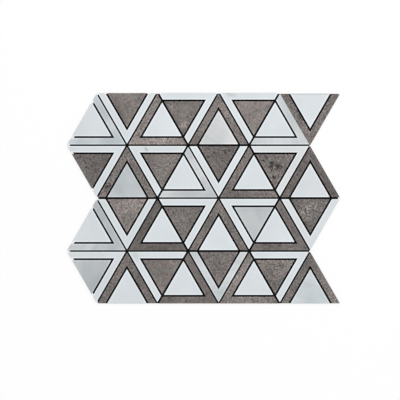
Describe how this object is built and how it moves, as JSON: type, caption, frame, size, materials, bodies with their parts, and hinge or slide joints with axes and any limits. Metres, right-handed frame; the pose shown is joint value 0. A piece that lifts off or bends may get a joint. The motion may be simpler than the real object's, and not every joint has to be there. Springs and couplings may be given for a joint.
{
  "type": "self-adhesive backsplash tile",
  "caption": "Peel-and-stick mosaic backsplash sheet: stone-look triangle chips in chevron frames on a black adhesive backing, with zigzag side edges that interlock with the next sheet.",
  "frame": {"origin": "under the middle of the sheet, on the face of the release liner that lies on the floor", "axes": "+Z out of the decorated face, +X along the rows of triangles, +Y towards the top of the pattern"},
  "size_m": [0.298, 0.2302, 0.0026],
  "materials": {
    "white_marble_print": "satin",
    "grey_marble_print": "satin",
    "taupe_stone_print": "matte",
    "black_adhesive_foam": "matte",
    "release_paper": "satin"
  },
  "bodies": {
    "root": {"white_chevrons_row_1": "white_marble_print", "grey_chevrons_row_1": "grey_marble_print", "taupe_chevrons_row_1": "taupe_stone_print", "white_chevrons_row_2": "white_marble_print", "grey_chevrons_row_2": "grey_marble_print", "taupe_chevrons_row_2": "taupe_stone_print", "white_chevrons_row_3": "white_marble_print", "grey_chevrons_row_3": "grey_marble_print", "taupe_chevrons_row_3": "taupe_stone_print", "white_chevrons_row_4": "white_marble_print", "grey_chevrons_row_4": "grey_marble_print", "taupe_chevrons_row_4": "taupe_stone_print", "white_triangles_row_1": "white_marble_print", "grey_triangles_row_1": "grey_marble_print", "taupe_triangles_row_1": "taupe_stone_print", "white_triangles_row_2": "white_marble_print", "grey_triangles_row_2": "grey_marble_print", "taupe_triangles_row_2": "taupe_stone_print", "white_triangles_row_3": "white_marble_print", "grey_triangles_row_3": "grey_marble_print", "taupe_triangles_row_3": "taupe_stone_print", "white_triangles_row_4": "white_marble_print", "grey_triangles_row_4": "grey_marble_print", "taupe_triangles_row_4": "taupe_stone_print", "adhesive_backing": "black_adhesive_foam", "release_liner": "release_paper"}
  },
  "joints": []
}
